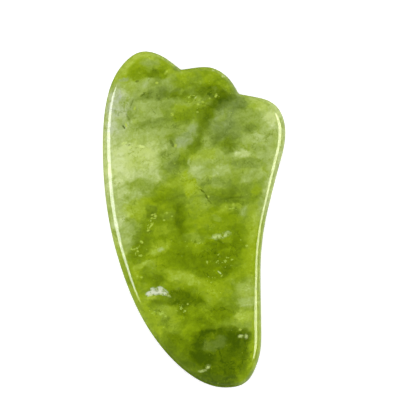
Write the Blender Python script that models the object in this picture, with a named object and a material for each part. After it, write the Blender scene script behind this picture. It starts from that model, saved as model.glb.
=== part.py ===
"""Gua sha board: a massage scraper cut, ground and polished from one slab of green stone.

Metres in the scene, millimetres in the constants below. The board lies flat, with +X across it,
+Y towards its lobed end and +Z out of its upper face. The origin is under the middle of its box,
on the surface that it lies on.
"""

import math

import bpy
from mathutils import Vector

MM = 0.001

# Driving dimensions
BOARD_LENGTH = 95.0
BOARD_WIDTH = 51.6
BOARD_THICKNESS = 6.0
RIM_REACH = 4.0  # the rounded rim runs this far in from the outline, and the faces are flat inside it
NOTCH_RADIUS = 0.6  # round at the bottom of each notch between two lobes

TOP = BOARD_LENGTH / 2
TAIL = -BOARD_LENGTH / 2
RIGHT = BOARD_WIDTH / 2
LEFT = -BOARD_WIDTH / 2

# Fineness of the surface
STEPS_PER_KNOT = 8
RIM_STEPS = 3

# Polished green stone: linear base colour, roughness and refractive index
STONE_COLOUR = (0.266, 0.361, 0.037, 1.0)
STONE_ROUGHNESS = 0.12
STONE_IOR = 1.56

# The outline, clockwise seen from above. A knot is its name, its X and Y from the middle of the
# board, and the heading of the edge there in degrees (0 is +X, 90 is +Y). A notch is a sharp
# corner with two headings, in and out, which notch_knots rounds off.
OUTLINE = [
    ("left_lobe_crest", -13.8, TOP, 0),
    ("left_lobe_slope", -7.5, 45.2, -34),
    ("left_notch", -3.7, 42.35, (-36, 6)),
    ("middle_lobe_crest", 3.0, 43.1, 0),
    ("middle_lobe_slope", 10.2, 39.4, -50),
    ("right_notch", 12.7, 35.5, (-58, -12)),
    ("right_lobe_shoulder", 18.6, 34.35, -12),
    ("right_lobe_corner", 24.0, 31.1, -56),
    ("right_lobe_side", RIGHT, 24.6, -90),
    ("hollow_flank_top", 24.7, 17.6, -105.5),
    ("hollow_flank_bottom", 20.8, 2.5, -103),
    ("waist", 18.8, -14.0, -90.5),
    ("hip", 19.0, -32.5, -90),
    ("tail_side", 17.9, -40.5, -110),
    ("tail_corner", 14.6, -46.0, -142),
    ("tail_end", 8.9, TAIL, 180),
    ("tail_underside", 1.0, -45.2, 150),
    ("belly_low", -10.4, -34.5, 127),
    ("belly_middle", -21.4, -11.2, 107),
    ("belly_widest", LEFT, 20.2, 90),
    ("left_shoulder", -23.9, 36.8, 73),
    ("left_lobe_side", -18.6, 45.4, 42),
]


def clear_scene():
    for old in list(bpy.data.objects):
        bpy.data.objects.remove(old)


def direction(heading):
    """The unit vector in the board's plane at a heading in degrees."""
    angle = math.radians(heading)
    return Vector((math.cos(angle), math.sin(angle), 0.0))


def notch_knots(corner, heading_in, heading_out):
    """The two ends of the round at the bottom of a notch, each a point and its heading."""
    half_turn = math.radians(heading_out - heading_in) / 2
    setback = NOTCH_RADIUS * math.tan(abs(half_turn))
    start = (corner - direction(heading_in) * setback, heading_in)
    end = (corner + direction(heading_out) * setback, heading_out)
    return [start, end]


def outline_knots():
    """Every knot of the outline as a point and its heading, with the notches rounded."""
    knots = []
    for _, x, y, heading in OUTLINE:
        point = Vector((x, y, 0.0))
        if isinstance(heading, tuple):
            knots += notch_knots(point, *heading)
        else:
            knots.append((point, heading))
    return knots


def handle_length(start, end):
    """The Bezier handle between two knots that makes a circle's arc where both ends turn alike."""
    (start_point, start_heading), (end_point, end_heading) = start, end
    chord = (end_point - start_point).length
    turn = (end_heading - start_heading + 180) % 360 - 180
    return chord / (3 * math.cos(math.radians(turn) / 4) ** 2)


def add_outline_spline(curve, knots):
    """One closed Bezier spline through the knots, tangent to their headings."""
    spline = curve.splines.new("BEZIER")
    spline.use_cyclic_u = True
    spline.bezier_points.add(len(knots) - 1)
    for index, knot in enumerate(knots):
        point, heading = knot
        along = direction(heading)
        before = handle_length(knots[index - 1], knot)
        after = handle_length(knot, knots[(index + 1) % len(knots)])
        bezier = spline.bezier_points[index]
        bezier.handle_left_type = "FREE"
        bezier.handle_right_type = "FREE"
        bezier.co = point * MM
        bezier.handle_left = (point - along * before) * MM
        bezier.handle_right = (point + along * after) * MM


def stone_material():
    """Polished green jade-like stone."""
    material = bpy.data.materials.new("green_stone")
    material.use_nodes = True
    shader = material.node_tree.nodes["Principled BSDF"]
    shader.inputs["Base Color"].default_value = STONE_COLOUR
    shader.inputs["Roughness"].default_value = STONE_ROUGHNESS
    shader.inputs["Metallic"].default_value = 0.0
    shader.inputs["IOR"].default_value = STONE_IOR
    material.diffuse_color = STONE_COLOUR
    return material


def make_board(collection):
    """The board: the outline filled on both faces, with a round rim flattened to the thickness.

    The rim is half a circle of radius RIM_REACH, and the object's Z scale presses it to half an
    ellipse as high as the board is thick, so that the edge is blunt and the faces stay flat.
    """
    curve = bpy.data.curves.new("stone_board", "CURVE")
    curve.dimensions = "2D"
    curve.fill_mode = "BOTH"
    curve.resolution_u = STEPS_PER_KNOT
    curve.render_resolution_u = 0
    curve.bevel_depth = RIM_REACH * MM
    curve.bevel_resolution = RIM_STEPS
    curve.offset = -RIM_REACH * MM
    add_outline_spline(curve, outline_knots())
    curve.materials.append(stone_material())

    board = bpy.data.objects.new("stone_board", curve)
    board.location.z = BOARD_THICKNESS / 2 * MM
    board.scale.z = BOARD_THICKNESS / 2 / RIM_REACH
    collection.objects.link(board)
    return board


def main():
    clear_scene()
    collection = bpy.data.collections.new("gua_sha_board")
    bpy.context.scene.collection.children.link(collection)
    make_board(collection)


main()
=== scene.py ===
"""The looks of the gua sha board: its polished stone, on a white table under soft studio light.

Metres in the scene. The board's shape and the stone's markings are worked out in millimetres, and
the X and Y of a marking count from the middle of the board. The board's outline, size and place
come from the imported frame.
"""

import math

import bmesh
import bpy
import numpy as np
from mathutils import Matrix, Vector, kdtree, noise
from mathutils.geometry import delaunay_2d_cdt


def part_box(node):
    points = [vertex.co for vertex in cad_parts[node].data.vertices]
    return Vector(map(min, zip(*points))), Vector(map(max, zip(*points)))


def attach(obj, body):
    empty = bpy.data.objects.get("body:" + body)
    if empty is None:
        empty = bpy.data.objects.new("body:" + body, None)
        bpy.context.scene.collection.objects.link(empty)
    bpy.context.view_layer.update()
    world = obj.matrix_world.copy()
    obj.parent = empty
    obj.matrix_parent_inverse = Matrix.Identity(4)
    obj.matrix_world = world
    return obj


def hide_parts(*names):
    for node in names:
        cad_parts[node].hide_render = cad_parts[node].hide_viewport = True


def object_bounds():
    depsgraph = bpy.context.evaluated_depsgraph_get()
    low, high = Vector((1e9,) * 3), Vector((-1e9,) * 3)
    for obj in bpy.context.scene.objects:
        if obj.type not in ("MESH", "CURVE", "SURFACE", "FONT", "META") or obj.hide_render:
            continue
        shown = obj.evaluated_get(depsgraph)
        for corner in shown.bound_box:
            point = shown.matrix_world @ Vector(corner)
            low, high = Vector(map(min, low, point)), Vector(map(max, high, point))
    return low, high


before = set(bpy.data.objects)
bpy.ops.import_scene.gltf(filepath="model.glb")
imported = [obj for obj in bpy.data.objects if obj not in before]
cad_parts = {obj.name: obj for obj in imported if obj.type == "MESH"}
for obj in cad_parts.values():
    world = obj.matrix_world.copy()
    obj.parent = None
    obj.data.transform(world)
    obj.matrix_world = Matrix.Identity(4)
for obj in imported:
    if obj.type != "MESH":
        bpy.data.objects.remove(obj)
cad_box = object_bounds()

MM = 0.001
SLAB = "stone_board"
BOARD_TOP = cad_box[1][2] / MM

# The ground and polished surface, in millimetres
RIM_REACH = 4.0  # the rounded rim runs this far in from the outline
SHOULDER_DROP = 0.10  # the faces sink this much towards the rim
SHOULDER_REACH = 10.0
WAVE_HEIGHT = 0.012  # hand polishing leaves the faces very slightly wavy
WAVE_LENGTH = 9.0

# The rim's curve. Its exponent is 2 for an ellipse, more for a squarer rim and less for a sharper one.
ROUND_RIM = 2.0
HOLLOW_RIM = 2.5  # along the hollow flank
HOLLOW_TOP = 20.0
HOLLOW_BOTTOM = -28.0
BELLY_RIM = 1.8  # along the bulging side
BELLY_TOP = 28.0
BELLY_BOTTOM = -26.0
RIM_FADE = 16.0  # each of the two stretches fades out over this much at either end

# Fineness of the mesh: counts, and steps in millimetres
RIM_RINGS = 16
CURVE_SAMPLES = 24  # to each gap between the CAD outline's corners
OUTLINE_STEP = 0.3
TURN_STEP = 4.0  # a turn of one radian counts for this much outline
FACE_STEP = 0.62

CLOSENESS = 1e-7  # points nearer than this are one, in metres and in millimetres alike

# The studio, in metres
TABLE_SIZE = 6.0
VIEW_WIDTH = 117.6 * MM
AIM_X = 3.93 * MM
AIM_Y = 3.24 * MM
LENS = 135.0  # in millimetres, as is the sensor
SENSOR = 36.0


def srgb(code):
    """A linear colour from a code such as "8fa80a"."""
    channels = [int(code[i : i + 2], 16) / 255 for i in (0, 2, 4)]
    return tuple(c / 12.92 if c <= 0.04045 else ((c + 0.055) / 1.055) ** 2.4 for c in channels) + (1.0,)


# ---------------------------------------------------------------- the board's shape


def cad_ring(node, middle):
    """The CAD slab's widest ring, at half its height: an (n, 2) array, anticlockwise, in millimetres."""
    mesh = bmesh.new()
    mesh.from_mesh(node.data)
    bmesh.ops.remove_doubles(mesh, verts=mesh.verts, dist=CLOSENESS)
    on_ring = {v for v in mesh.verts if abs(v.co.z - middle) < 10 * CLOSENESS}
    first = max(on_ring, key=lambda v: v.co.y)
    ring, before, here = [], None, first
    while here is not first or not ring:
        ring.append((here.co.x / MM, here.co.y / MM))
        around = [e.other_vert(here) for e in here.link_edges if e.other_vert(here) in on_ring]
        ahead = [v for v in around if v is not before]
        before, here = here, ahead[0] if before else min(ahead, key=lambda v: v.co.x)
    mesh.free()
    return np.array(ring)


def smooth_closed(points):
    """A smooth closed curve through unevenly spaced points, with CURVE_SAMPLES to each gap."""
    ahead = np.roll(points, -1, axis=0)
    gap = np.linalg.norm(ahead - points, axis=1)[:, None]
    gap_before = np.roll(gap, 1, axis=0)
    slope = (ahead - points) / gap
    slope_before = np.roll(slope, 1, axis=0)
    tangent = (slope * gap_before + slope_before * gap) / (gap + gap_before)
    leaving = (tangent * gap)[:, None]
    arriving = (np.roll(tangent, -1, axis=0) * gap)[:, None]
    t = np.linspace(0, 1, CURVE_SAMPLES, endpoint=False)[None, :, None]
    curve = (2 * t**3 - 3 * t**2 + 1) * points[:, None] + (t**3 - 2 * t**2 + t) * leaving
    curve = curve + (3 * t**2 - 2 * t**3) * ahead[:, None] + (t**3 - t**2) * arriving
    return curve.reshape(-1, 2)


def resample(curve):
    """The closed curve in even steps, shorter where it turns, so that tight bends stay round."""
    run = np.roll(curve, -1, axis=0) - curve
    heading = np.arctan2(run[:, 1], run[:, 0])
    turn = np.abs(np.angle(np.exp(1j * (np.roll(heading, -1) - heading))))
    cost = np.linalg.norm(run, axis=1) + turn * TURN_STEP
    along = np.concatenate([[0.0], np.cumsum(cost)])
    marks = np.linspace(0.0, along[-1], int(along[-1] / OUTLINE_STEP), endpoint=False)
    closed = np.vstack([curve, curve[:1]])
    return np.column_stack([np.interp(marks, along, closed[:, k]) for k in (0, 1)])


def inward_normals(outline):
    """Unit vectors into the board along its anticlockwise outline."""
    run = np.roll(outline, -1, axis=0) - np.roll(outline, 1, axis=0)
    normal = np.column_stack([-run[:, 1], run[:, 0]])
    return normal / np.linalg.norm(normal, axis=1)[:, None]


def smoothstep(x):
    """Eased from 0 to 1 while x goes from 0 to 1, and held outside that."""
    x = np.clip(x, 0.0, 1.0)
    return x * x * (3 - 2 * x)


def stretch(y, top, bottom):
    """1 between two heights on the outline, and eased to 0 at them."""
    return smoothstep((top - y) / RIM_FADE) * smoothstep((y - bottom) / RIM_FADE)


def squareness(outline):
    """The rim's exponent at each outline point: squarer on the hollow flank, sharper on the belly."""
    x, y = outline[:, 0], outline[:, 1]
    hollow = (x > 0) * stretch(y, HOLLOW_TOP, HOLLOW_BOTTOM)
    belly = (x < 0) * stretch(y, BELLY_TOP, BELLY_BOTTOM)
    return ROUND_RIM + (HOLLOW_RIM - ROUND_RIM) * hollow + (BELLY_RIM - ROUND_RIM) * belly


def shoulder(depth):
    """How far each face has sunk, in millimetres, at a distance in from the outline."""
    rest = 1 - np.clip(depth / SHOULDER_REACH, 0.0, 1.0)
    return SHOULDER_DROP * rest**2


def wave(x, y, side):
    """The polish's waviness: always a little below the flat, so that the box stays the CAD's."""
    place = Vector((x / WAVE_LENGTH, y / WAVE_LENGTH, side))
    return WAVE_HEIGHT * (noise.noise(place) - 1)


def rim_rings(outline, half):
    """The rim's points, ring by ring in from the outline, and each side's rings as their indices."""
    normals = inward_normals(outline)
    exponent = squareness(outline)
    count = len(outline)
    places = [(x, y, half) for x, y in outline]
    rings = {1: [list(range(count))], -1: [list(range(count))]}
    for step in range(1, RIM_RINGS + 1):  # the last ring is the border of the flat face
        angle = math.pi / 2 * step / RIM_RINGS
        across = np.cos(angle) ** (2 / exponent) if step < RIM_RINGS else np.zeros(count)
        height = np.sin(angle) ** (2 / exponent)
        depth = RIM_REACH * (1 - across)
        ring = outline + normals * depth[:, None]
        rise = (half - SHOULDER_DROP) * height + (SHOULDER_DROP - shoulder(depth)) * height
        for side in (1, -1):
            sunk = [height[i] * wave(*ring[i], side) for i in range(count)]
            rings[side].append(list(range(len(places), len(places) + count)))
            places += [(ring[i, 0], ring[i, 1], half + side * (rise[i] + sunk[i])) for i in range(count)]
    return places, rings


def face_points(outline, inner):
    """Points of a hexagonal grid inside the innermost rim ring, with their distance to the outline."""
    tree = kdtree.KDTree(len(outline))
    for index, (x, y) in enumerate(outline):
        tree.insert((x, y, 0.0), index)
    tree.balance()
    low, high = inner.min(axis=0), inner.max(axis=0)
    row_gap = FACE_STEP * math.sqrt(3) / 2
    points = []
    for row, y in enumerate(np.arange(low[1], high[1], row_gap)):
        edge = inner - np.array((0.0, y))
        ahead = np.roll(edge, -1, axis=0)
        crossing = (edge[:, 1] > 0) != (ahead[:, 1] > 0)
        share = edge[crossing, 1] / (edge[crossing, 1] - ahead[crossing, 1])
        cuts = np.sort(edge[crossing, 0] + share * (ahead[crossing, 0] - edge[crossing, 0]))
        for x in np.arange(low[0] + FACE_STEP / 2 * (row % 2), high[0], FACE_STEP):
            inside = np.searchsorted(cuts, x) % 2 == 1
            depth = tree.find((x, y, 0.0))[2]
            if inside and depth > RIM_REACH + FACE_STEP / 2:
                points.append((x, y, depth))
    return np.array(points)


def fill_face(inner, points):
    """Triangles over the innermost ring and the grid points inside it, as indices into both."""
    flat = [Vector(p) for p in inner] + [Vector(p[:2]) for p in points]
    border = list(range(len(inner)))
    inside_only = 1
    _, _, triangles, origins, _, _ = delaunay_2d_cdt(flat, [], [border], inside_only, CLOSENESS)
    return [[origins[corner][0] for corner in triangle] for triangle in triangles]


def make_board(node):
    """The slab as a fine mesh: rounded rim, sunken shoulders and very slightly wavy faces."""
    low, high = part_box(SLAB)
    half = (high.z - low.z) / 2 / MM
    outline = resample(smooth_closed(cad_ring(node, (low.z + high.z) / 2)))
    places, rings = rim_rings(outline, half)
    inner = outline + inward_normals(outline) * RIM_REACH
    grid = face_points(outline, inner)
    triangles = fill_face(inner, grid)
    count = len(outline)
    faces = []
    for side in (1, -1):
        start = len(places)
        for x, y, depth in grid:
            places.append((x, y, half + side * (half - shoulder(depth) + wave(x, y, side))))
        corners = rings[side][-1] + list(range(start, len(places)))
        faces += [[corners[i] for i in triangle][::side] for triangle in triangles]
        for outer, within in zip(rings[side], rings[side][1:]):
            for i in range(count):
                after = (i + 1) % count
                faces.append([outer[i], outer[after], within[after], within[i]][::side])

    mesh = bpy.data.meshes.new("jade_board")
    mesh.from_pydata([(x * MM, y * MM, low.z + z * MM) for x, y, z in places], [], faces)
    mesh.validate()
    mesh.shade_smooth()
    board = bpy.data.objects.new("jade_board", mesh)
    bpy.context.scene.collection.objects.link(board)
    return board


# ---------------------------------------------------------------- material and node helpers


def make_material(name, values):
    """A new material and its Principled shader, whose sockets have these values."""
    material = bpy.data.materials.new(name)
    material.use_nodes = True
    shader = material.node_tree.nodes["Principled BSDF"]
    for socket, value in values.items():
        shader.inputs[socket].default_value = value
    return material, shader


def add_node(tree, kind, inputs=None, **settings):
    """A shader node with its settings, and its inputs linked or set by name or number."""
    node = tree.nodes.new("ShaderNode" + kind)
    for name, value in settings.items():
        setattr(node, name, value)
    for name, value in (inputs or {}).items():
        if isinstance(value, bpy.types.NodeSocket):
            tree.links.new(value, node.inputs[name])
        else:
            node.inputs[name].default_value = value
    return node


def calculate(tree, operation, *values, clamp=False):
    """One step of arithmetic on numbers, each a plain value or a socket."""
    inputs = dict(enumerate(values))
    return add_node(tree, "Math", inputs, operation=operation, use_clamp=clamp).outputs[0]


def vector_math(tree, operation, *values):
    """One step of arithmetic on vectors, each a plain value or a socket."""
    return add_node(tree, "VectorMath", dict(enumerate(values)), operation=operation).outputs[0]


def split_vector(tree, vector):
    """A vector's three parts."""
    return add_node(tree, "SeparateXYZ", {0: vector}).outputs


def remap(tree, value, low, high, to_low=0.0, to_high=1.0):
    """Value from low..high eased to to_low..to_high, and held at the ends."""
    inputs = {"Value": value, "From Min": low, "From Max": high, "To Min": to_low, "To Max": to_high}
    return add_node(tree, "MapRange", inputs, interpolation_type="SMOOTHSTEP").outputs[0]


def cloud_noise(tree, place, size, detail, roughness=0.55, distortion=0.0):
    """Fractal noise whose largest lumps are about this size: its value and its colour."""
    inputs = {"Vector": place, "Scale": 1 / size, "Detail": detail}
    inputs |= {"Roughness": roughness, "Distortion": distortion}
    return add_node(tree, "TexNoise", inputs).outputs


def mix_numbers(tree, share, first, second):
    """The first number where share is 0, the second where it is 1, and between them a blend."""
    return add_node(tree, "Mix", {0: share, 2: first, 3: second}).outputs[0]


def mix_vectors(tree, share, first, second):
    """The same blend of vectors."""
    return add_node(tree, "Mix", {0: share, 4: first, 5: second}, data_type="VECTOR").outputs[1]


def mix_colours(tree, share, first, second):
    """The same blend of colours."""
    return add_node(tree, "Mix", {0: share, 6: first, 7: second}, data_type="RGBA").outputs[2]


def ramp(tree, value, stops):
    """A colour ramp through stops, each a place from 0 to 1 and a colour code."""
    node = add_node(tree, "ValToRGB", {"Fac": value})
    elements = node.color_ramp.elements
    while len(elements) < len(stops):
        elements.new(0.5)
    for element, (place, code) in zip(elements, stops):
        element.position = place
        element.color = srgb(code)
    return node.outputs["Color"]


def even_ramp(tree, value, codes):
    """A colour ramp through evenly spaced colour codes."""
    last = len(codes) - 1
    return ramp(tree, value, [(index / last, code) for index, code in enumerate(codes)])


# ---------------------------------------------------------------- the stone's markings, and the light and shade painted into its colour

# What a cloud is made of, each from 0 to 1: how pale it is, how milky, and how smoky grey
KINDS = {
    "black": (0.00, 0.0, 0.0),
    "deep": (0.15, 0.0, 0.0),
    "moss": (0.35, 0.0, 0.0),
    "leaf": (0.54, 0.0, 0.0),
    "lime": (0.76, 0.0, 0.0),
    "yellow": (1.0, 0.1, 0.0),
    "spring": (0.84, 0.12, 0.0),
    "olive": (0.28, 0.6, 0.3),
    "sage": (0.46, 0.4, 0.7),
    "fog": (0.72, 0.6, 0.8),
    # painted reflection: a pale grey veil that stands in for a softbox's soft reflection
    "painted_reflection": (1.0, 0.4, 0.85),
    "mist": (0.54, 0.85, 0.1),
    "milk": (0.76, 1.0, 0.1),
    "butter": (0.96, 0.5, 0.0),
    "straw": (0.80, 0.5, 0.0),
    "fern": (0.50, 0.5, 0.0),
    "cream": (0.94, 1.0, 0.0),
}

# Clouds of colour, the board's largest first, each laid over those before it:
# kind, X, Y, reach along, reach across, turn in degrees, strength
WHOLE_BOARD = [
    ("mist", 0, 28, 38, 20, 0, 0.9),
    ("leaf", 0, -12, 30, 22, 0, 0.98),
    ("deep", 5, -44, 26, 16, 15, 0.97),
    ("cream", -22, 15, 20, 11, 92, 0.95),
    ("milk", -21.6, -1, 17, 6, 104, 0.95),
    ("lime", -19.4, -12, 12, 4, 112, 0.9),
    ("leaf", -16.8, -18.6, 9, 3.4, 118, 0.85),
    ("milk", 23, 24, 15, 7, 88, 0.9),
    ("milk", 21.8, 9.5, 11, 3.8, 76, 0.9),
    ("lime", 17.8, -10, 17, 4, 90, 0.7),
    ("lime", 17.8, -30, 15, 3.4, 90, 0.9),
]

LOBES = [
    ("lime", -18, 43.6, 10, 6.5, 35, 0.98),
    ("lime", -8, 43.6, 8, 5, -35, 0.98),
    ("yellow", -13, 46.4, 9, 2, 0, 0.5),
    ("mist", -12.4, 44.2, 3.2, 1.6, 0, 0.6),
    ("yellow", -18.6, 44.6, 6.5, 2.4, 42, 0.8),
    ("leaf", -15.4, 41, 4.8, 3, 0, 0.9),
    ("moss", -10.4, 40.8, 4.6, 2.2, 0, 0.8),
    ("spring", -21.2, 41.8, 4, 2.8, 48, 0.97),
    ("fog", -20, 39.4, 2.4, 0.9, 10, 0.7),
    ("straw", -17.8, 37.2, 3.4, 2.2, 20, 0.9),
    ("milk", -13.8, 37.6, 2.4, 1.6, 0, 0.45),
    ("mist", -7.9, 37.2, 5, 2.6, 20, 0.75),
    ("leaf", -3, 38.6, 4.5, 3.4, 0, 0.9),
    ("lime", -2, 40.6, 4.4, 2.6, 8, 0.8),
    ("leaf", 4.6, 39.6, 9, 5, -15, 0.98),
    ("lime", 3.6, 38.8, 2.6, 1.6, 0, 0.6),
    ("lime", 6.4, 42, 8, 1.8, -24, 0.85),
    ("lime", 8.4, 40, 2.4, 1.8, -45, 0.7),
    ("moss", 3, 36.2, 8, 3, -3, 0.9),
    ("butter", 20.8, 30.9, 6.5, 4.5, -40, 0.97),
    ("spring", 17.5, 32.4, 5, 2.4, -12, 0.6),
    ("olive", 13.2, 33.4, 3.6, 2.2, -10, 0.85),
    # a painted reflection of the left softbox on the sloping shoulder, drawn as a pale grey veil
    ("painted_reflection", -21.6, 29.6, 10.6, 6.3, 84, 0.85),
    ("mist", -20.2, 27.6, 2.6, 2.6, 0, 0.5),
    ("olive", -16.4, 33.6, 4.5, 1.1, 65, 0.35),
    ("olive", -18, 28.8, 3.4, 0.8, 100, 0.6),
    ("olive", -10.5, 35.4, 6.5, 2.2, 25, 0.9),
    ("moss", -4.4, 34.9, 6, 2, -10, 0.9),
    ("milk", -12.7, 31.2, 6, 3.4, 0, 0.6),
    ("mist", -16.6, 29.6, 3.4, 2, 40, 0.8),
    ("olive", -11, 26.8, 8, 2.4, 12, 0.6),
    ("milk", -14.6, 23, 4.6, 2, 0, 0.85),
    ("deep", 7.8, 33.2, 6.5, 4.4, 38, 1.0),
    ("deep", 8.4, 34.6, 3.8, 2.4, 20, 0.9),
    ("leaf", 11, 38, 3, 2, -55, 0.8),
    ("black", 7.4, 32.6, 4.4, 2.4, 38, 0.9),
    ("moss", 0.6, 34, 4, 1.6, 15, 0.5),
]

MIDDLE = [
    ("leaf", -2.5, 30.5, 7, 4.5, 0, 0.9),
    ("moss", -3.4, 27.6, 6.5, 2.2, 10, 0.45),
    ("moss", 3.6, 29, 8.5, 4, 72, 0.8),
    ("moss", 1, 23.6, 8, 2.8, 60, 0.65),
    ("moss", -1.8, 18, 7, 3, 50, 0.75),
    ("deep", 4.6, 30, 4.5, 2, 66, 0.8),
    ("fog", -2, 23.4, 5.2, 2.6, 50, 0.9),
    ("fog", -4.4, 21.4, 2.8, 2, 30, 0.8),
    ("moss", -6.8, 22, 3.4, 1.8, 70, 0.9),
    ("olive", -8.2, 17.4, 5.6, 6.5, 0, 0.95),
    ("sage", 10.5, 31.2, 6, 4, 20, 0.85),
    ("sage", 8.6, 26.4, 6, 4, 0, 0.85),
    ("fog", 7.5, 29, 2, 1.6, 0, 0.2),
    ("mist", 15.6, 28.4, 6, 3.4, 0, 0.8),
    ("olive", 15.6, 25.6, 4.5, 1.2, 5, 0.4),
    ("milk", 16, 22.6, 5.5, 2.4, 0, 0.8),
    ("olive", 9.2, 22.2, 5.6, 4.2, 0, 0.95),
    ("moss", 9.8, 21, 4.4, 2.6, 10, 0.8),
    ("spring", 3.4, 18.4, 6, 2.6, 10, 0.85),
    ("cream", 13.6, 18.4, 3.6, 2.8, 0, 0.95),
    ("olive", 17.4, 20.4, 4, 0.7, -8, 0.3),
    ("milk", 19.3, 18, 2.4, 1.6, 0, 0.8),
    ("olive", 16, 15.6, 7, 2, 6, 0.55),
    ("milk", -15.2, 18.4, 13, 10, 10, 0.97),
    ("butter", -17, 17.2, 12, 7.5, 12, 0.95),
    ("olive", -8.2, 17.2, 2.4, 3.2, 0, 0.4),
    ("cream", -21.4, 17, 3.4, 5, 0, 0.7),
    ("milk", -13, 11.4, 8, 3.4, 10, 0.85),
    ("fern", -16.2, 10, 5.4, 1.7, 14, 0.85),
    ("milk", -20.4, 8, 3.4, 2.4, 0, 0.8),
    ("milk", -15.8, 7.2, 5.4, 2, 26, 0.97),
    ("milk", 1, 13.2, 4.4, 3.2, 10, 0.9),
    ("milk", 7.2, 13.6, 4.4, 2.4, 0, 0.85),
    ("olive", 6.2, 10.4, 6, 2.2, -5, 0.6),
    ("milk", 17, 12.4, 6, 2.6, 10, 0.65),
    ("moss", 8.2, 7.2, 5.6, 1.8, 0, 0.4),
    ("lime", 17, 7.6, 3.4, 2.2, 60, 0.85),
    ("lime", -0.8, 9.6, 3.4, 7, 15, 0.97),
    ("spring", -5.5, 10.8, 4.4, 3, 30, 0.65),
    ("leaf", -10, 6.4, 6, 2.4, 20, 0.75),
    ("leaf", -8.6, 3.6, 5, 3, -10, 0.8),
    ("lime", -12.6, 5, 2.6, 2.4, 0, 0.7),
    ("milk", -21, 4, 5.5, 3, 100, 0.9),
    ("spring", -16.6, 2.2, 5, 4.6, 0, 0.9),
    ("mist", -18.5, -2.4, 5, 3, 0, 0.7),
    ("straw", -7.4, 1, 3, 1.8, 0, 0.3),
    ("moss", -4.2, -1.6, 4, 8, 0, 0.85),
    ("deep", -3.6, 0, 2.2, 6, 3, 0.7),
    ("lime", 3.4, 1, 9, 5.6, 0, 0.7),
    ("leaf", 8.6, 0.6, 6, 3.6, 0, 0.8),
    ("moss", 5, 2.8, 4.4, 1.4, 20, 0.55),
    ("moss", 8.4, -2.4, 5, 1.6, 0, 0.4),
    ("spring", 17, -2, 3, 7, -8, 0.6),
    ("mist", 14.2, 2.8, 2.4, 2.2, 0, 0.8),
    ("spring", 8.4, 2.8, 3, 2, 0, 0.6),
    ("spring", 10.8, 4, 3.8, 1.8, 0, 0.7),
    ("straw", 6.6, 0.2, 2.4, 1, -30, 0.5),
    ("leaf", 17, 3.6, 3.6, 2, 60, 0.5),
    ("moss", 12.4, -6.2, 3.6, 6.4, 0, 0.9),
]

LOWER_HALF = [
    ("straw", 0, -5, 4.4, 1.8, 0, 0.4),
    ("deep", 7, -7, 4, 1.8, 0, 0.6),
    ("spring", -8.4, -3, 5, 2.2, 0, 0.4),
    ("spring", -10.6, -8, 5.4, 2.8, 10, 0.85),
    ("milk", -19.6, -5.5, 3, 7, 12, 0.55),
    ("moss", -15.2, -8.4, 3.8, 4.6, -30, 0.9),
    ("moss", -17.2, -11.2, 3.6, 2.6, 0, 0.7),
    ("moss", -11, -16.6, 6, 2.4, 0, 0.6),
    ("lime", -15.8, -15.4, 3, 1.8, 20, 0.65),
    ("lime", -13.4, -18.4, 3.4, 1.6, 0, 0.45),
    ("spring", -14, -13, 5, 1, 20, 0.8),
    ("moss", 3, -12, 12, 6, -5, 0.97),
    ("deep", -1, -9.6, 5, 1.8, 0, 0.3),
    ("leaf", 2, -8.6, 4, 2.2, 0, 0.75),
    ("deep", 9, -14, 3.2, 1.6, 0, 0.4),
    ("lime", 15.4, -12, 3, 6, 0, 0.75),
    ("moss", 13, -4.6, 2, 6, 0, 0.5),
    ("spring", -3.6, -16, 7, 3, -10, 0.9),
    ("spring", 0.4, -17.6, 4.6, 2.2, -10, 0.6),
    ("deep", -2.8, -22.4, 7.5, 3.2, -10, 0.97),
    ("deep", -8.4, -23.2, 4, 1.2, -10, 0.4),
    ("lime", 6.2, -20, 6, 3.6, 0, 0.6),
    ("moss", 1.2, -25.8, 3.4, 2, 0, 0.6),
    ("moss", 8, -26.4, 5.5, 3, 0, 0.9),
    ("moss", 2.6, -28.6, 4.5, 2.4, 0, 0.95),
    ("straw", 14.4, -19.6, 3.6, 4.4, -20, 0.9),
    ("milk", 15, -23.2, 4, 2, 5, 0.9),
    ("spring", 14.2, -27, 4.8, 2.8, 0, 0.97),
    ("spring", -8, -25.8, 5.5, 2.6, 10, 0.6),
    ("spring", -7, -30.4, 5, 2.4, 0, 0.3),
    ("moss", -2.6, -27.4, 2.8, 5, 0, 0.7),
    ("lime", -0.8, -31, 2.8, 2.8, 20, 0.75),
    ("lime", -5.2, -28, 2.8, 1.6, 0, 0.75),
    ("lime", -12.6, -27.5, 12, 3.2, -58, 0.85),
    ("moss", -5.4, -33.6, 3.4, 2.4, 0, 0.9),
    ("moss", -4.4, -37, 7, 4, -40, 0.7),
    ("deep", 7.6, -38, 12, 10, 0, 0.98),
    ("deep", 8, -32.6, 11, 3.2, 0, 0.98),
    ("black", 5.4, -31.8, 5, 1.7, 0, 0.75),
    ("leaf", -0.3, -32.2, 2.8, 2.6, 0, 0.85),
    ("black", 11.4, -33.8, 5.5, 3, 5, 0.95),
    ("black", 1.2, -36.6, 3.2, 6, 0, 0.85),
    ("deep", 7, -40.4, 7, 4, 0, 0.7),
    ("black", 3.2, -39.6, 3.4, 2.6, 0, 0.7),
    ("olive", 7.6, -34.4, 2.2, 2.2, 0, 0.6),
    ("moss", 5.4, -37, 3.4, 1.4, 0, 0.8),
    ("olive", 4.6, -35.4, 3, 2.2, 0, 0.65),
    ("lime", 16.8, -38, 2.6, 9, -8, 0.95),
    ("moss", 12.4, -40.6, 3.4, 4, 0, 0.6),
    ("leaf", 13.8, -44.6, 3.4, 3, 40, 0.98),
]

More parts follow.
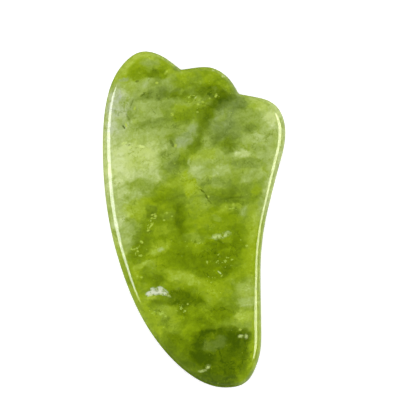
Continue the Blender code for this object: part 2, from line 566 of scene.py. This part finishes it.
# Short thin cracks, flecks and the white chip, laid over the clouds kind by kind. Each kind has its
# colour, and a softness: the more, the more its edges fade out.
INCLUSION_KINDS = {
    "glow": ("b4c83c", 1.3),
    "white": ("e2e8cc", 0.7),
    "ash": ("96a46e", 0.6),
    "pale": ("ccdc82", 1.1),
    "mark": ("c0cc98", 1.3),
    "fleck": ("c4d850", 0.8),
    "glint": ("dcec90", 0.8),
    "crack": ("4b6000", 0.6),
}

# One row for each, as for the clouds: kind, X, Y, reach along, reach across, turn, strength
INCLUSIONS = [
    ("glow", -12.2, -22.0, 3.4, 1.2, 6, 1.0),
    ("white", -12.0, -20.6, 2.4, 1.0, 22, 0.95),
    ("white", -10.6, -20.2, 2.6, 1.3, 0, 0.95),
    ("white", -9.0, -20.2, 2.4, 1.3, -25, 0.9),
    ("white", -11.4, -19.7, 1.2, 1.1, 20, 0.8),
    ("white", -9.5, -19.5, 1.2, 1.1, 0, 0.8),
    ("ash", -10.5, -19.9, 0.9, 0.6, 0, 0.7),
    ("glint", -12.2, -21.2, 0.7, 0.5, 0, 0.7),
    ("glint", -9.0, -21.0, 0.8, 0.4, 0, 0.6),
    ("ash", -9.7, -21.0, 0.9, 0.4, 0, 0.5),
    ("pale", -7.3, -21.2, 1.5, 0.6, -38, 0.8),
    ("pale", 6.4, -4.8, 3.2, 1.2, 4, 0.9),
    ("pale", 8.6, -4.3, 2.8, 1.2, 24, 1.0),
    ("pale", 9.2, -4.0, 1.0, 0.6, 24, 1.0),
    ("pale", 7.5, -4.6, 1.6, 0.8, 8, 0.9),
    ("pale", 2.4, -42.5, 2.2, 0.7, 8, 0.7),
    ("pale", 3.9, -41.3, 1.3, 0.9, 40, 0.9),
    ("pale", 13.2, -32.8, 1.4, 0.8, 0, 0.9),
    ("pale", 14.6, -32.8, 0.8, 1.2, 10, 0.9),
    ("fleck", 13.0, -30.9, 0.6, 0.5, 0, 0.6),
    ("fleck", -11.5, 1.4, 1.2, 0.4, 20, 0.8),
    ("fleck", -10.8, 1.0, 0.7, 0.5, 0, 0.8),
    ("fleck", -11.8, 0.3, 0.5, 0.6, 20, 0.7),
    ("fleck", -7.6, 1.9, 0.5, 0.4, 0, 0.6),
    ("fleck", -6.2, 0.9, 0.5, 0.4, 0, 0.6),
    ("fleck", -8.4, -0.2, 0.5, 0.4, 0, 0.6),
    ("fleck", -12.0, -1.7, 1.6, 0.4, 55, 0.8),
    ("fleck", -12.8, -3.1, 0.7, 0.5, 30, 0.8),
    ("fleck", -14.8, -6.3, 0.9, 0.6, -40, 0.9),
    ("fleck", -15.8, -8.9, 0.5, 0.5, 0, 0.8),
    ("fleck", -14.9, -10.2, 0.5, 0.6, 0, 0.7),
    ("mark", -13.7, 37.9, 1.7, 1.3, 10, 0.45),
    ("fleck", -19.0, 26.4, 1.3, 0.4, -65, 0.9),
    ("glow", -9.3, -8.4, 2.6, 1.6, 15, 0.4),
    ("mark", -9.2, -8.4, 1.6, 1.1, 15, 0.6),
    ("pale", -1.4, 16.2, 1.6, 0.7, 80, 0.5),
    ("fleck", -7.9, 41.2, 1.2, 0.5, 55, 0.8),
    ("glint", 8.3, 40.5, 1.2, 0.8, 0, 0.9),
    ("glint", 5.4, 42, 0.9, 0.4, 0, 0.7),
    ("fleck", -10.4, 38.4, 0.7, 0.5, 0, 0.8),
    ("fleck", 1.2, 32.5, 0.7, 0.6, 0, 0.9),
    ("fleck", 6.2, 34.8, 0.6, 0.9, -20, 0.8),
    ("glint", 0.4, 34.2, 0.9, 0.3, 50, 0.5),
    ("fleck", 2.4, 33.0, 0.6, 0.5, 0, 0.7),
    ("fleck", 4.4, 34.0, 0.5, 0.4, 0, 0.6),
    ("fleck", 1.0, 30.2, 0.5, 0.4, 0, 0.6),
    ("fleck", -6.2, 29.6, 0.8, 0.8, 0, 0.8),
    ("fleck", -5.2, 20.7, 0.7, 0.8, 0, 0.7),
    ("fleck", -16.6, 31.4, 0.5, 1.0, -20, 0.7),
    ("glint", -19.6, 21.4, 1.4, 0.6, 20, 0.8),
    ("glint", -18, 20.2, 0.9, 0.5, 30, 0.7),
    ("glint", -14.8, 20.5, 1.8, 0.6, -15, 0.9),
    ("fleck", 4.0, 6.5, 0.6, 0.5, 0, 1.0),
    ("fleck", 11.1, 4.0, 0.5, 0.9, 0, 0.8),
    ("fleck", 3.7, -12.0, 0.4, 0.8, 10, 0.7),
    ("glint", 7.2, -14.9, 1.1, 0.3, -40, 0.7),
    ("fleck", 7.8, -15.8, 0.7, 0.3, 50, 0.8),
    ("fleck", 14.8, -7.4, 0.6, 0.5, 0, 0.9),
    ("fleck", -15.8, -16.0, 0.6, 0.6, 0, 0.9),
    ("fleck", -14.7, -16.2, 0.7, 0.5, 0, 0.8),
    ("fleck", -1.8, -23.7, 0.5, 0.5, 0, 0.8),
    ("crack", 2.4, 8.0, 1.2, 0.35, -40, 0.7),
    ("crack", 3.5, 6.5, 1.2, 0.5, -62, 0.7),
    ("crack", 4.4, 5.0, 1.2, 0.35, -48, 0.5),
    ("crack", 11.4, 6.2, 4.4, 0.4, 4, 0.5),
    ("crack", -14.2, 35.2, 1.4, 0.6, 40, 0.7),
    ("crack", -15.9, 38.8, 0.8, 0.5, 0, 0.6),
    ("crack", -19.8, 26.0, 1.0, 0.4, -55, 0.8),
    ("crack", -6.2, 21.4, 1.8, 0.6, -65, 0.6),
    ("crack", -17.6, 32.4, 2.4, 0.4, 70, 0.35),
    ("crack", -18.6, 28.8, 1.8, 0.4, -60, 0.35),
    ("crack", -11.4, 30.4, 1.4, 0.3, -50, 0.35),
]

# Where tiny crystals crowd together: X, Y, reach along, reach across, turn in degrees
CRYSTALS = [
    (-1.0, 33.4, 5, 3, 20),
    (-12.4, -0.8, 4.5, 2, 60),
    (-15.6, -8.2, 3, 3.6, 0),
    (0.2, -6.8, 4, 2, 0),
    (8.5, -11.6, 5.5, 4.6, 0),
    (5.2, -17.8, 2.4, 3, 0),
    (-9.4, -26.4, 4, 3, 0),
    (-3.4, -25.6, 3, 3, 0),
    (-17, 20.6, 4, 2, 0),
    (6.6, 34.6, 2, 2, 0),
    (11, 3.4, 3.4, 2.4, 0),
]

# How far a marking's spot reaches down from the top, in millimetres
CLOUD_DEPTH = 8.0
BROAD_CLOUD_DEPTH = 24.0
BROAD_REACH = 10.0  # a cloud with this reach or more is a broad one
CRYSTAL_DEPTH = 4.0
INCLUSION_DEPTH = 3.0

CLOUD_EDGE = 0.7  # a cloud shows in full where its spot, torn by noise, is above this
INCLUSION_EDGE = 0.1  # an inclusion starts to show where its ragged spot is above this

# The stone's colours where it is clear, milky and smoky, each from dark to pale
CLEAR = ("486000", "647d00", "829d03", "9eb711", "bad042")
MILKY = ("688024", "809638", "9cb24e", "b8cc70", "dae8a2")
SMOKY = ("5c722c", "72883e", "8a9e58", "a6b680", "c8d2b0")

# What is under all the clouds: how pale, milky and smoky the stone is, how far each of these drifts,
# and the size of the drift's lumps in millimetres
PLAIN_STONE = (0.5, 0.2, 0.05)
DRIFT = (1.4, 1.2, 0.8)
DRIFT_SIZE = 16.0

# Two swirls bend the clouds and most of the noises: the size of their lumps, and how far they bend,
# in millimetres
BROAD_SWIRL_SIZE = 9.0
BROAD_SWIRL = (2.6, 2.6, 2.0)
FINE_SWIRL_SIZE = 2.2
FINE_SWIRL = (2.4, 2.4, 1.0)
SWIRL_DETAIL = 3.0

# The stone's noises: size of the largest lumps, detail, roughness, distortion, spread. The size is
# in millimetres, but the fibres' is in FIBRE_STRETCH.
NOISES = {
    "tears": (2.4, 4.0, 0.6, 0.0, 2.6),
    "wisps": (4.0, 5.0, 0.6, 0.6, 2.4),
    "fibres": (1.0, 3.0, 0.5, 0.0, 0.5),
    "lumps": (3.6, 4.0, 0.5, 0.0, 0.42),
    "clots": (1.5, 3.0, 0.6, 0.0, 0.35),
    "grains": (0.6, 2.0, 0.6, 0.0, 0.32),
    "hairlines": (5.0, 3.0, 0.55, 0.0, 1.0),
    "raggedness": (0.8, 3.0, 0.7, 0.0, 4.5),
}

# The fibres rise to the right, and are long along themselves and thin across
FIBRE_TURN = math.radians(24)
FIBRE_STRETCH = (7.0, 2.0, 3.0)

# In the rows of four below, something grows or fades between the first two numbers, and the last two
# are how strong it is there. ALONG and ACROSS rows count in millimetres along or across the board.
# TILT rows count in the upward share of the surface's direction, 1 on the faces and 0 at the outline.
FIBRES_ALONG = (-20.0, 15.0, 0.4, 1.0)

# Cells of slightly different paleness
CELL_SIZE = 2.6
CELL_SPREAD = 0.10

# Dark hairlines run where a noise is near nought, in patches where a second noise is high
HAIRLINE_SHADE = (0.0, 0.015, -0.22, 0.0)
HAIR_PATCH_SIZE = 7.0
HAIR_PATCHES = (0.45, 0.6)

# Painted light: the thin rim is painted paler and milkier, as if light came through it and it mirrored a
# pale tent; less so at the tail and at the lobes
RIM_TILT = (0.3, 0.88, 1.0, 0.0)
RIM_ALONG_TAIL = (-40.0, -22.0, 0.2, 1.0)
RIM_ALONG_LOBES = (35.0, 41.0, 1.0, 0.3)
RIM_PAINTED_PALENESS = 0.14
RIM_PAINTED_MILKINESS = 0.5
RIM_BLEND = 0.7  # at most this share of the stone's own milkiness and smoke gives way to the rim's

# Painted shade: the brink of the rim is painted darker, standing in for shade at its silhouette
BRINK_TILT = (0.2, 0.55, -0.18, 0.0)
BRINK_ALONG = (-25.0, 0.0, 0.0, 1.0)
BRINK_ACROSS = (8.0, 18.0, 1.0, 0.4)

# Crystals show where a noise is above a limit, which is lower in their crowds. There are dark ones
# under light ones: how far the noise is moved for each, and its colour.
CRYSTAL_SIZE = 0.9
CRYSTAL_LIMIT = 0.70
CROWDING = -0.18
CRYSTAL_SHADE = (0.0, 0.10, 0.0, 0.75)
CRYSTAL_LAYERS = ((30.0, "6a8400"), (0.0, "bcd450"))

POLISHED_STONE = {
    "Roughness": 0.09,
    "IOR": 1.55,
    "Subsurface Weight": 0.2,
    "Subsurface Radius": (1.0, 1.0, 0.35),
    "Subsurface Scale": 0.8 * MM,
}


def spot(tree, place, x, y, reach, across, turn, depth):
    """An oval patch of the board's top that falls off evenly, from 1 in its middle to 0 at its reach."""
    inputs = {"Vector": place, "Location": (x, y, BOARD_TOP)}
    inputs |= {"Rotation": (0.0, 0.0, math.radians(turn)), "Scale": (reach, across, depth)}
    local = add_node(tree, "Mapping", inputs, vector_type="TEXTURE").outputs[0]
    return add_node(tree, "TexGradient", {"Vector": local}, gradient_type="SPHERICAL").outputs["Fac"]


def centred(tree, value, spread, middle=0.0):
    """Noise, which is about 0.5 on average, moved to be about middle and spread wider."""
    return calculate(tree, "MULTIPLY_ADD", value, spread, middle - 0.5 * spread)


def named_noise(tree, place, name, middle=0.0):
    """One of NOISES, moved to be about middle."""
    *shape, spread = NOISES[name]
    return centred(tree, cloud_noise(tree, place, *shape)[0], spread, middle)


def swirl(tree, place, size, detail=SWIRL_DETAIL):
    """Noise in three directions, about nought."""
    return vector_math(tree, "SUBTRACT", cloud_noise(tree, place, size, detail)[1], (0.5, 0.5, 0.5))


def lay_clouds(tree, place, torn, start):
    """The clouds of the stone, with one painted reflection among them, laid one over another: how pale,
    how milky and how smoky it is.
    """
    laid = start
    for kind, x, y, reach, across, turn, strength in WHOLE_BOARD + LOBES + MIDDLE + LOWER_HALF:
        depth = CLOUD_DEPTH if reach < BROAD_REACH else BROAD_CLOUD_DEPTH
        ball = spot(tree, place, x, y, reach, across, turn, depth)
        mask = remap(tree, calculate(tree, "MULTIPLY", ball, torn), 0.0, CLOUD_EDGE, 0.0, strength)
        laid = mix_vectors(tree, mask, laid, KINDS[kind])
    return split_vector(tree, laid)


def painted_rim_glow(tree, tilt, along):
    """Where the rim's painted glow goes: 1 on its steep part, 0 on the faces, and less at the board's
    ends.
    """
    edge = remap(tree, tilt, *RIM_TILT)
    for ending in (RIM_ALONG_TAIL, RIM_ALONG_LOBES):
        edge = calculate(tree, "MULTIPLY", edge, remap(tree, along, *ending))
    return edge


def painted_brink_shade(tree, tilt, along, across):
    """How much painted shade darkens the rim's brink: not at all at the tail, and less on the right."""
    brink = remap(tree, tilt, *BRINK_TILT)
    brink = calculate(tree, "MULTIPLY", brink, remap(tree, along, *BRINK_ALONG))
    return calculate(tree, "MULTIPLY", brink, remap(tree, across, *BRINK_ACROSS))


def fibre_noise(tree, place, along):
    """Fibres drawn out along their own direction, weaker towards the tail."""
    inputs = {"Vector": place, "Rotation": (0.0, 0.0, FIBRE_TURN), "Scale": FIBRE_STRETCH}
    drawn = add_node(tree, "Mapping", inputs, vector_type="TEXTURE").outputs[0]
    fibres = named_noise(tree, drawn, "fibres")
    return calculate(tree, "MULTIPLY", fibres, remap(tree, along, *FIBRES_ALONG))


def cell_noise(tree, place):
    """Cells, each a little paler or darker than the next."""
    colour = add_node(tree, "TexVoronoi", {"Vector": place, "Scale": 1 / CELL_SIZE}).outputs["Color"]
    return centred(tree, split_vector(tree, colour)[0], CELL_SPREAD)


def hairline_noise(tree, place, warped):
    """Dark hairlines in patches."""
    ridge = calculate(tree, "ABSOLUTE", named_noise(tree, warped, "hairlines"))
    patches = remap(tree, cloud_noise(tree, place, HAIR_PATCH_SIZE, 2.0)[0], *HAIR_PATCHES)
    return calculate(tree, "MULTIPLY", remap(tree, ridge, *HAIRLINE_SHADE), patches)


def crystals(tree, place, shift):
    """Tiny crystals: a mask that picks out a few of them everywhere and many in the crowds."""
    crowd = 0.0
    for row in CRYSTALS:
        crowd = calculate(tree, "MAXIMUM", crowd, spot(tree, place, *row, CRYSTAL_DEPTH))
    moved = vector_math(tree, "ADD", place, (shift, shift, 0.0))
    speck = cloud_noise(tree, moved, CRYSTAL_SIZE, 2.0, 0.6)[0]
    limit = calculate(tree, "MULTIPLY_ADD", crowd, CROWDING, CRYSTAL_LIMIT)
    return remap(tree, calculate(tree, "SUBTRACT", speck, limit), *CRYSTAL_SHADE)


def lay_inclusions(tree, place, colour):
    """The cracks, flecks and the chip over the stone's colour, kind by kind."""
    ragged = named_noise(tree, place, "raggedness", 1.0)
    for kind, (code, softness) in INCLUSION_KINDS.items():
        shown = 0.0
        for name, x, y, reach, across, turn, strength in INCLUSIONS:
            if name == kind:
                ball = spot(tree, place, x, y, reach, across, turn, INCLUSION_DEPTH)
                torn = calculate(tree, "MULTIPLY", ball, ragged)
                mask = remap(tree, torn, INCLUSION_EDGE, softness, 0.0, strength)
                shown = calculate(tree, "MAXIMUM", shown, mask)
        colour = mix_colours(tree, shown, colour, srgb(code))
    return colour


def stone_material():
    """Polished green jade: milky clouds, clear deep green, veins, cracks and white flecks, with painted
    light and shade: a pale glow on the rim, shade at its brink, and a reflection on the left shoulder.
    """
    material, shader = make_material("polished_jade", POLISHED_STONE)
    tree = material.node_tree
    coordinates = add_node(tree, "TexCoord").outputs
    scaling = {0: coordinates["Object"], "Scale": 1 / MM}
    place = add_node(tree, "VectorMath", scaling, operation="SCALE").outputs[0]
    across, along, _ = split_vector(tree, place)
    tilt = calculate(tree, "ABSOLUTE", split_vector(tree, coordinates["Normal"])[2])

    broad = swirl(tree, place, BROAD_SWIRL_SIZE)
    fine = swirl(tree, place, FINE_SWIRL_SIZE)
    warped = vector_math(tree, "MULTIPLY_ADD", broad, BROAD_SWIRL, place)
    warped = vector_math(tree, "MULTIPLY_ADD", fine, FINE_SWIRL, warped)

    drift = swirl(tree, place, DRIFT_SIZE, 2.0)
    start = vector_math(tree, "MULTIPLY_ADD", drift, DRIFT, PLAIN_STONE)
    torn = named_noise(tree, warped, "tears", 1.0)
    pale, milk, smoke = lay_clouds(tree, warped, torn, start)

    # the mask for the rim's painted glow
    edge = painted_rim_glow(tree, tilt, along)
    unevenness = (
        fibre_noise(tree, warped, along),
        named_noise(tree, warped, "lumps"),
        named_noise(tree, warped, "clots"),
        named_noise(tree, place, "grains"),
        cell_noise(tree, warped),
        # painted light: the rim is painted paler
        calculate(tree, "MULTIPLY", edge, RIM_PAINTED_PALENESS),
        # painted shade: the rim's brink is painted darker
        painted_brink_shade(tree, tilt, along, across),
        hairline_noise(tree, place, warped),
    )
    for change in unevenness:
        pale = calculate(tree, "ADD", pale, change)

    wisps = named_noise(tree, warped, "wisps", 1.0)
    # the rim's painted glow puts a painted milkiness in place of part of the stone's own milkiness and
    # smoke
    blend = calculate(tree, "MULTIPLY", edge, RIM_BLEND)
    milk = mix_numbers(tree, blend, calculate(tree, "MULTIPLY", milk, wisps, clamp=True), RIM_PAINTED_MILKINESS)
    smoke = mix_numbers(tree, blend, calculate(tree, "MULTIPLY", smoke, wisps, clamp=True), 0.0)

    colour = mix_colours(tree, milk, even_ramp(tree, pale, CLEAR), even_ramp(tree, pale, MILKY))
    colour = mix_colours(tree, smoke, colour, even_ramp(tree, pale, SMOKY))
    for shift, code in CRYSTAL_LAYERS:
        colour = mix_colours(tree, crystals(tree, place, shift), colour, srgb(code))
    tree.links.new(lay_inclusions(tree, place, colour), shader.inputs["Base Color"])
    return material


# ---------------------------------------------------------------- the studio

WHITE_TABLE = {
    "Base Color": (0.9, 0.9, 0.9, 1.0),
    "Roughness": 0.8,
    "Emission Color": (1.0, 1.0, 1.0, 1.0),
    "Emission Strength": 0.4,
}

# Lights: azimuth and elevation in degrees, distance, width and height in metres, radiance,
# sideways shift in metres, tint
TOP_LIGHT = (90, 87, 9.0, 7.9, 7.9, 5.0, 0.0, (1, 1, 1))
STRIPS = {
    "left_strip": (180, 30, 0.6, 0.50, 0.26, 9.0, 0.0, (1, 1, 1)),
    "left_strip_end": (180, 30, 0.6, 0.10, 0.20, 5.0, 0.225, (1, 1, 0.6)),
    "right_strip": (0, 28, 0.6, 0.62, 0.27, 9.0, 0.055, (1, 1, 0.75)),
}

# The light tent that the stone mirrors: its floor, with a reflector on the right, and its sides from
# the horizon, 0, to overhead, 1. The reflector and the horizon come in over these shares of +X and +Z.
TENT_FLOOR = "7c8a50"
REFLECTOR = "e8e8e8"
REFLECTOR_EDGE = (0.1, 0.5)
HORIZON_EDGE = (-0.02, 0.0)
TENT_SIDES = [(0.0, "d0d0d0"), (0.09, "d0d0d0"), (0.14, "707070"), (0.94, "606060"), (0.98, "202020")]


def make_table():
    """A white table that glows faintly, which keeps the board's shadow light."""
    bpy.ops.mesh.primitive_plane_add(size=TABLE_SIZE, location=(0, 0, 0))
    table = bpy.context.object
    table.name = "table"
    table.data.materials.append(make_material("white_table", WHITE_TABLE)[0])
    table.visible_glossy = False


def softbox(name, azimuth, elevation, distance, width, height, radiance, shift, tint):
    """An oval light that faces the board. Azimuth 0 is towards +X and 90 towards +Y."""
    turn, rise = math.radians(azimuth), math.radians(elevation)
    away = Vector((math.cos(turn) * math.cos(rise), math.sin(turn) * math.cos(rise), math.sin(rise)))
    side = Vector((-math.sin(turn), math.cos(turn), 0.0))
    light = bpy.data.lights.new(name, "AREA")
    light.shape = "ELLIPSE"
    light.size = width
    light.size_y = height
    light.energy = radiance * math.pi * (math.pi / 4 * width * height)
    light.color = tint
    lamp = bpy.data.objects.new(name, light)
    lamp.location = away * distance + side * shift
    lamp.rotation_mode = "QUATERNION"
    lamp.rotation_quaternion = away.to_track_quat("Z", "Y")
    lamp.visible_camera = False
    bpy.context.scene.collection.objects.link(lamp)
    return lamp


def make_lights():
    """A broad light overhead that the stone doesn't mirror, and strips that it only mirrors."""
    softbox("top_light", *TOP_LIGHT).visible_glossy = False
    for name, values in STRIPS.items():
        strip = softbox(name, *values)
        strip.visible_diffuse = False
        strip.visible_transmission = False


def make_tent():
    """A light tent all round, white to the camera, and the floor that the polished rim mirrors.

    The mirrored floor is olive, from the stone's own tinted shadow, but white on the right, where
    a reflector lies. The tent is dark overhead, at the camera's opening.
    """
    world = bpy.data.worlds.new("light_tent")
    bpy.context.scene.world = world
    world.use_nodes = True
    tree = world.node_tree
    across, _, up = split_vector(tree, add_node(tree, "TexCoord").outputs["Generated"])
    reflector = remap(tree, across, *REFLECTOR_EDGE)
    floor = mix_colours(tree, reflector, srgb(TENT_FLOOR), srgb(REFLECTOR))
    mirrored = mix_colours(tree, remap(tree, up, *HORIZON_EDGE), floor, ramp(tree, up, TENT_SIDES))
    seen = add_node(tree, "LightPath").outputs["Is Camera Ray"]
    background = tree.nodes["Background"]
    tree.links.new(mix_colours(tree, seen, mirrored, srgb("ffffff")), background.inputs["Color"])
    background.inputs["Strength"].default_value = 1.0


def make_camera(low, high):
    """A long lens straight above the board, with the board a little off the middle of the view."""
    data = bpy.data.cameras.new("overhead_camera")
    data.lens = LENS
    data.sensor_width = SENSOR
    camera = bpy.data.objects.new("overhead_camera", data)
    middle = (low + high) / 2
    camera.location = middle + Vector((AIM_X, AIM_Y, VIEW_WIDTH * LENS / SENSOR))
    bpy.context.scene.collection.objects.link(camera)
    bpy.context.scene.camera = camera


def main():
    bpy.context.scene.view_settings.view_transform = "Standard"
    board = make_board(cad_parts[SLAB])
    board.data.materials.append(stone_material())
    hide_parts(SLAB)
    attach(board, "root")

    make_table()
    make_tent()
    make_lights()
    make_camera(*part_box(SLAB))


main()
